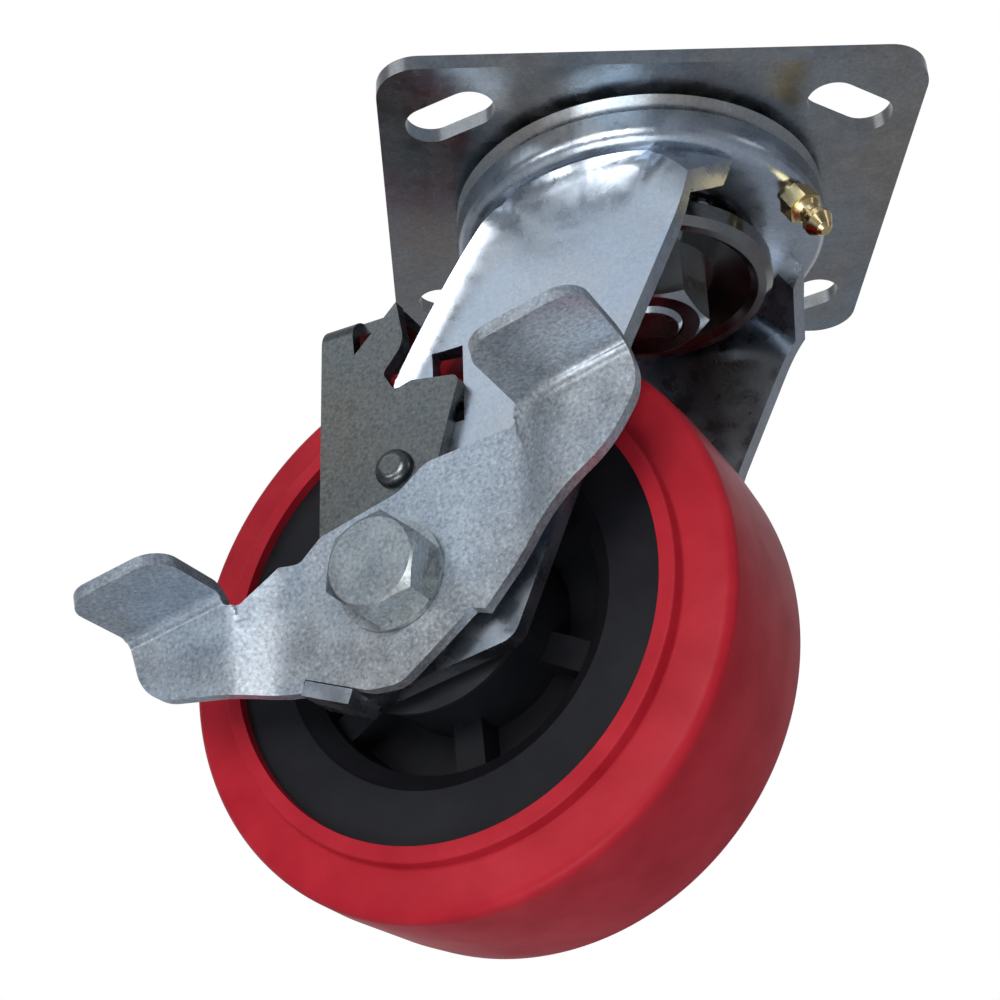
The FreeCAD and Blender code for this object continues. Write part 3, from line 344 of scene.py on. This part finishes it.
ball_tree.links.new(row_paint.outputs["Geometry"], row_out.inputs["Balls"])


def evaluated_mesh(item):
    """The plain mesh that an object's modifiers make, with the modifiers gone."""
    bpy.context.view_layer.update()
    made = bpy.data.meshes.new_from_object(item.evaluated_get(bpy.context.evaluated_depsgraph_get()))
    item.modifiers.clear()
    return made


for row, count in BALL_ROWS:
    low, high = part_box(row)
    ball = (high.z - low.z) / 2
    item = bpy.data.objects.new(row + "_round", bpy.data.meshes.new(row))
    scene.collection.objects.link(item)
    work = item.modifiers.new("row", "NODES")
    work.node_group = ball_tree
    for name, value in (("Ball Radius", ball), ("Row Radius", high.x - ball), ("Count", count),
                        ("Finish", ball_steel)):
        work[ball_inputs[name].identifier] = value
    item.data = evaluated_mesh(item)
    item.data.transform(Matrix.Translation((0.0, 0.0, (low.z + high.z) / 2)))
    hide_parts(row)
    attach(item, "plate")

# Yoke: one pressing of 4 mm sheet, zinc plated, whose dished crown runs through rounded shoulders into
# two flat legs. The press leaves the shoulders soft, and rolls the cut edge of the toe a little.
SWIVEL = math.radians(-27.73)
TRAIL = 0.0415
DROP = 0.100
LEG_OUTSIDE = 0.0343
LEG_INSIDE = 0.0303
CROWN_UNDER = 0.015
SHOULDER = 0.0379
SHOULDER_RUN = 0.45
SHOULDER_WALL = 0.005
ROOT_RUN = 0.55
ROOT_DEPTH = 0.008
SHOULDER_BLEND = 0.0080
ROOT_BLEND = 0.0060
BLEND_START = 0.003
CROWN_EDGE = 0.0002
LEGS_FROM = 0.022
WALL_SLACK = 0.0003
TOE_START = -0.1130
TOE_END = -0.1243
TOE_ROLL = 0.0016
ACROSS_CUTS = (-0.060, 0.040, 66)
SHOULDER_CUTS = (-0.016, -0.090, 50)
TOE_CUTS = (TOE_START, -0.124, 8)
JOINED = 1e-6
ON_PLANE = 1e-7
CREASE = math.radians(24.0)
YOKE_COOL = (0.50, 0.57, 0.66, 1.0)
YOKE_WARM = (0.54, 0.57, 0.61, 1.0)


def shape_of(node, place):
    """A piece of the frame as a joined, editable form, in the axes that place leads from."""
    form = bmesh.new()
    form.from_mesh(nodes[node].data)
    bmesh.ops.remove_doubles(form, verts=form.verts, dist=JOINED)
    form.transform(place.inverted())
    return form


def cut_across(form, direction, levels):
    """Cut a form's faces along parallel planes, so that they can be bent there."""
    for level in levels:
        everything = form.verts[:] + form.edges[:] + form.faces[:]
        bmesh.ops.bisect_plane(form, geom=everything, plane_co=direction * level, plane_no=direction,
                               dist=ON_PLANE)


def steps(low, high, count):
    """Evenly spaced values from one to another, both included."""
    return [low + (high - low) * index / count for index in range(count + 1)]


def finish_shape(form, place, name, material, node, body):
    """Turn a form into a piece in its place, smooth but for its creases, that stands for the frame's."""
    form.transform(place)
    for face in form.faces:
        face.smooth = True
    for edge in form.edges:
        edge.smooth = edge.calc_face_angle(0.0) < CREASE
    mesh = bpy.data.meshes.new(name)
    form.to_mesh(mesh)
    form.free()
    mesh.materials.append(material)
    item = bpy.data.objects.new(name, mesh)
    scene.collection.objects.link(item)
    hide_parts(node)
    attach(item, body)


def eased(share):
    """A share from 0 to 1 that starts and ends gently."""
    share = min(max(share, 0.0), 1.0)
    return share * share * (3.0 - 2.0 * share)


def soft_least(first, second, blend):
    """The lesser of two lengths, rounded where they cross."""
    near = max(blend - abs(first - second), 0.0) / blend
    return min(first, second) - near * near * blend / 4.0


def half_chord(radius, across):
    """How far a circle reaches out at a distance across from its middle."""
    return math.sqrt(max(radius * radius - across * across, 0.0))


def wall(across, depth, flat, inset, soft):
    """How far out a leg's wall stands, at a distance across the castor and a depth below the crown."""
    cone = half_chord(SHOULDER - inset + SHOULDER_RUN * depth, across)
    out = soft_least(flat, cone, SHOULDER_BLEND) if soft else min(flat, cone)
    if inset == 0.0 and depth < ROOT_DEPTH + ROOT_BLEND:
        root = half_chord(SHOULDER - ROOT_RUN * depth, across)
        out = -soft_least(-out, -root, ROOT_BLEND) if soft else max(out, root)
    return out


yoke_place = Matrix.Rotation(SWIVEL, 4, "Z")
yoke_form = shape_of("yoke", yoke_place)
cut_across(yoke_form, Vector((1, 0, 0)), steps(*ACROSS_CUTS))
cut_across(yoke_form, Vector((0, 0, 1)), steps(*SHOULDER_CUTS) + steps(*TOE_CUTS))
for vert in yoke_form.verts:
    across, out, depth = vert.co.x, abs(vert.co.y), -vert.co.z - CROWN_UNDER
    if depth < CROWN_EDGE or out < LEGS_FROM:
        continue
    sharp_out = wall(across, depth, LEG_OUTSIDE, 0.0, False)
    sharp_in = wall(across, depth, LEG_INSIDE, SHOULDER_WALL, False)
    if out > sharp_out + WALL_SLACK:
        continue
    share = min(max((out - sharp_in) / max(sharp_out - sharp_in, JOINED), 0.0), 1.0)
    change_out = wall(across, depth, LEG_OUTSIDE, 0.0, True) - sharp_out
    change_in = wall(across, depth, LEG_INSIDE, SHOULDER_WALL, True) - sharp_in
    change = (share * change_out + (1.0 - share) * change_in) * eased(depth / BLEND_START)
    if vert.co.z < TOE_START:
        change -= share * TOE_ROLL * ((TOE_START - vert.co.z) / (TOE_START - TOE_END)) ** 2
    vert.co.y += math.copysign(change, vert.co.y)
yoke_zinc = zinc_finish("yoke_zinc", YOKE_COOL, YOKE_WARM, gloss=0.28, mottle=0.16, specks=0.12,
                        scratches=0.25, waves=0.00008)
finish_shape(yoke_form, yoke_place, "yoke_pressing", yoke_zinc, "yoke", "yoke")

# Lower race and kingpin nut: a pressed steel dish that holds the lower row of balls up against the crown,
# and the zinc plated hexagon nut that is screwed up under it.
RACE_COOL = (0.25, 0.26, 0.26, 1.0)
RACE_WARM = (0.25, 0.22, 0.20, 1.0)

race_zinc = zinc_finish("race_zinc", RACE_COOL, RACE_WARM, gloss=0.20, mottle=0.1, specks=0.1,
                        scratches=0.3)
dress("lower_race", race_zinc)
nut_zinc = zinc_finish("nut_zinc", PLATE_COOL, PLATE_WARM, gloss=0.22, mottle=0.15, specks=0.2,
                       scratches=0.3)
dress("kingpin_nut", nut_zinc)

# Grease nipple: turned brass with a hexagon and a ball end, screwed slanting into the crown's shoulder,
# where the swivel's grease goes in.
BRASS_PALE = (0.86, 0.66, 0.34, 1.0)
BRASS_DEEP = (0.70, 0.46, 0.22, 1.0)

nipple_brass = zinc_finish("nipple_brass", BRASS_PALE, BRASS_DEEP, gloss=0.20, mottle=0.1, specks=0.0,
                           scratches=0.2)
dress("grease_nipple", nipple_brass)

# Axle: a steel hexagon bolt through both legs with its sleeve, washers and nut, zinc plated and a little
# dull, which also carries the brake lever under its head.
BOLT_COOL = (0.42, 0.46, 0.48, 1.0)
BOLT_WARM = (0.40, 0.40, 0.39, 1.0)

bolt_zinc = zinc_finish("bolt_zinc", BOLT_COOL, BOLT_WARM, gloss=0.30, mottle=0.5, specks=0.3,
                        scratches=0.5)
for node in ("axle_bolt", "axle_nut", "head_washer", "nut_washer"):
    dress(node, bolt_zinc)
dress("axle_sleeve", bolt_zinc)

# Wheel core: black plastic moulded in one piece, with a dished web between rim and hub, six ribs on each
# side and a satin skin from its mould.
CORE_BLACK = (0.010, 0.010, 0.013, 1.0)
CORE_PALER = (0.016, 0.016, 0.019, 1.0)
SKIN_CLOUDS = 70.0
SKIN_GRAIN = 1800.0
SKIN_DEPTH = 0.00006
SKIN_SPREAD = (-0.08, 0.10)


def moulded_finish(name, colour, lighter, gloss, grain, shine):
    """A moulded or cast skin: faint clouds of tone, uneven gloss and a fine grain."""
    material = bpy.data.materials.new(name)
    material.use_nodes = True
    tree = material.node_tree
    shader = tree.nodes["Principled BSDF"]
    shader.inputs["Specular IOR Level"].default_value = shine
    place = add(tree, "TexCoord").outputs["Object"]
    clouds = add(tree, "TexNoise", Scale=SKIN_CLOUDS, Detail=4.0, Roughness=0.6)
    fine = add(tree, "TexNoise", Scale=SKIN_GRAIN, Detail=2.0)
    for texture in (clouds, fine):
        tree.links.new(place, texture.inputs["Vector"])
    share = stretched(tree, clouds.outputs["Fac"], 0.35, 0.68)
    tree.links.new(blended(tree, share, colour, lighter), shader.inputs["Base Color"])
    dull = add(tree, "MapRange")
    dull.inputs["To Min"].default_value = gloss + SKIN_SPREAD[0]
    dull.inputs["To Max"].default_value = gloss + SKIN_SPREAD[1]
    tree.links.new(clouds.outputs["Fac"], dull.inputs["Value"])
    tree.links.new(dull.outputs["Result"], shader.inputs["Roughness"])
    relief = add(tree, "Bump", Strength=grain, Distance=SKIN_DEPTH)
    tree.links.new(fine.outputs["Fac"], relief.inputs["Height"])
    tree.links.new(relief.outputs["Normal"], shader.inputs["Normal"])
    return material


core_plastic = moulded_finish("core_plastic", CORE_BLACK, CORE_PALER, gloss=0.44, grain=0.3, shine=0.16)
dress("wheel_core", core_plastic)

# Bearings and covers: pressed and ground steel rings in the hub, behind black plastic dust covers that snap
# over the hub's ends.
COVER_BLACK = (0.012, 0.012, 0.014, 1.0)
COVER_PALER = (0.02, 0.02, 0.022, 1.0)

for node in ("bearing_inner_rings", "bearing_outer_rings", "bearing_shields"):
    dress(node, ball_steel)
cover_plastic = moulded_finish("cover_plastic", COVER_BLACK, COVER_PALER, gloss=0.34, grain=0.2, shine=0.35)
dress("dust_covers", cover_plastic)

# Tyre: red elastomer cast on the core's rim, with a raised collar beside the core, a slightly sunken side,
# a rounded tread corner and a crowned tread.
TYRE_RED = (0.50, 0.022, 0.036, 1.0)
TYRE_DEEP = (0.40, 0.013, 0.024, 1.0)
TYRE_AROUND = 256
CORNER_STEPS = 10
TYRE_OUTLINE = (
    (0.04865, 0.0234, 0.0), (0.0519, 0.0234, 0.0005), (0.0524, 0.0203, 0.0006), (0.0600, 0.0198, 0.0),
    (0.0625, 0.0191, 0.0026), (0.0630, 0.0100, 0.0),
)
axle_place = yoke_place @ Matrix.Translation((-TRAIL, 0.0, -DROP)) @ Matrix.Rotation(math.pi / 2, 4, "X")


def rounded(outline, count):
    """The points of an outline whose corners are rounded. Each corner is given as its distance from the
    axle, its distance from the wheel's middle and its radius."""
    points = []
    for index, (x, y, radius) in enumerate(outline):
        corner = Vector((x, y))
        if radius == 0.0:
            points.append(corner)
            continue
        back = (Vector(outline[index - 1][:2]) - corner).normalized()
        ahead = (Vector(outline[index + 1][:2]) - corner).normalized()
        half = back.angle(ahead) / 2
        middle = corner + (back + ahead).normalized() * radius / math.sin(half)
        start = (corner + back * radius / math.tan(half) - middle).normalized()
        end = (corner + ahead * radius / math.tan(half) - middle).normalized()
        for share in steps(0.0, 1.0, count):
            points.append(middle + radius * start.slerp(end, share).normalized())
    return points


tyre_half = rounded(TYRE_OUTLINE, CORNER_STEPS)
tyre_section = tyre_half + [Vector((point.x, -point.y)) for point in reversed(tyre_half)]
tyre_form = bmesh.new()
ring = [tyre_form.verts.new((point.x, 0.0, point.y)) for point in tyre_section]
loop = [tyre_form.edges.new((ring[index - 1], ring[index])) for index in range(len(ring))]
bmesh.ops.spin(tyre_form, geom=ring + loop, axis=(0, 0, 1), cent=(0, 0, 0), angle=2 * math.pi,
               steps=TYRE_AROUND, use_merge=True)
bmesh.ops.remove_doubles(tyre_form, verts=tyre_form.verts, dist=JOINED)
bmesh.ops.recalc_face_normals(tyre_form, faces=tyre_form.faces)
tyre_red = moulded_finish("tyre_red", TYRE_RED, TYRE_DEEP, gloss=0.36, grain=0.35, shine=0.11)
finish_shape(tyre_form, axle_place, "tyre_tread", tyre_red, "tyre", "wheel")

# Brake shoe: a stamped plate, zinc plated and dark, that slides on the near leg round the lever's cam, with
# a flange folded over the tread.
SHOE_COOL = (0.17, 0.18, 0.18, 1.0)
SHOE_WARM = (0.18, 0.175, 0.16, 1.0)

shoe_zinc = zinc_finish("shoe_zinc", SHOE_COOL, SHOE_WARM, gloss=0.30, mottle=0.5, specks=0.5,
                        scratches=0.5, waves=0.00005)
dress("brake_shoe", shoe_zinc)

# Brake lever: a rocking plate of 2.7 mm sheet under the bolt's head, whose ends step out in a soft joggle
# and fold up into two foot pedals. The bending leaves each fold round and the sheet near it bowed: a fold
# is given by its two ends, its radius, how far the sheet bows and how far from the fold the bow reaches.
LEVER_FACE = 0.0402
LEVER_GAUGE = 0.0027
JOGGLE = 0.0038
REAR_JOGGLE = (-0.0236, -0.0376)
FRONT_JOGGLE = (0.0256, 0.0416)
JOGGLE_CUTS = 14
REAR_FOLD = (Vector((-0.0605, -0.0017)), Vector((-0.0373, 0.0033)), 0.0026, 0.0009, 0.013)
FRONT_FOLD = (Vector((0.0298, 0.0280)), Vector((0.0539, 0.0338)), 0.0030, 0.0013, 0.018)
FOLDS = (REAR_FOLD, FRONT_FOLD)
FOLD_CUTS = 24
FOLD_INSIDE = 0.0003
FOLD_OUTSIDE = 0.0070
BOW_START = 0.0080
BOW_CUTS = 8
PEDAL_CUTS = (0.0406, 0.0510, 26)
PEDAL_TALL = 0.0168
PEDAL_ENDS = 0.002
SHEET_SLACK = 0.0001
LEVER_COOL = (0.44, 0.50, 0.57, 1.0)
LEVER_WARM = (0.40, 0.41, 0.42, 1.0)


def joggled(across, ease):
    """How far the lever's sheet has stepped out, at a distance along it from the axle."""
    start, end = REAR_JOGGLE if across < 0 else FRONT_JOGGLE
    share = min(max((across - start) / (end - start), 0.0), 1.0)
    return JOGGLE * (eased(share) if ease else share)


def folded(side, out, radius):
    """Bend the square corner between the sheet and a pedal round a radius. Both lengths start at the
    corner's inside, side along the sheet and out along the pedal."""
    depth = -min(side, out)
    along = max(side, out) + depth
    reach = radius + depth
    if along >= reach or depth > LEVER_GAUGE + 2 * SHEET_SLACK:
        return side, out
    turned = (1.0 - along / reach) * math.pi / 4
    near, far = radius - reach * math.cos(turned), radius - reach * math.sin(turned)
    return (far, near) if out <= side else (near, far)


lever_form = shape_of("brake_lever", axle_place)
cut_across(lever_form, Vector((1, 0, 0)),
           steps(REAR_JOGGLE[1], REAR_JOGGLE[0], JOGGLE_CUTS) + steps(*FRONT_JOGGLE, JOGGLE_CUTS))
cut_across(lever_form, Vector((0, 0, 1)), steps(*PEDAL_CUTS))
for start, end, radius, bow, bow_reach in FOLDS:
    ahead = (end - start).normalized()
    down = Vector((ahead.y, -ahead.x, 0.0))
    base = down.xy.dot(start)
    cut_across(lever_form, down, steps(base - LEVER_GAUGE + FOLD_INSIDE, base + FOLD_OUTSIDE, FOLD_CUTS))
    cut_across(lever_form, down, steps(base + BOW_START, base + bow_reach, BOW_CUTS))
for vert in lever_form.verts:
    sharp = joggled(vert.co.x, False)
    if -LEVER_GAUGE - SHEET_SLACK <= vert.co.z - LEVER_FACE <= sharp + SHEET_SLACK:
        vert.co.z += joggled(vert.co.x, True) - sharp
    for start, end, radius, bow, bow_reach in FOLDS:
        ahead = (end - start).normalized()
        down = Vector((ahead.y, -ahead.x))
        along = (vert.co.xy - start).dot(ahead)
        if -PEDAL_ENDS < along < (end - start).length + PEDAL_ENDS:
            face = LEVER_FACE + joggled(vert.co.x, True)
            side, out = folded((vert.co.xy - start).dot(down), vert.co.z - face, radius)
            moved = start + along * ahead + side * down
            if out > max(side, 0.0):
                out += bow * max(1.0 - out / PEDAL_TALL, 0.0)
            else:
                out += bow * max(1.0 - max(side, 0.0) / bow_reach, 0.0) ** 2
            vert.co = (moved.x, moved.y, face + out)
brake_zinc = zinc_finish("brake_zinc", LEVER_COOL, LEVER_WARM, gloss=0.32, mottle=0.55, specks=0.5,
                         scratches=0.5, waves=0.00006, metal=0.65)
finish_shape(lever_form, axle_place, "lever_pressing", brake_zinc, "brake_lever", "brake_lever")
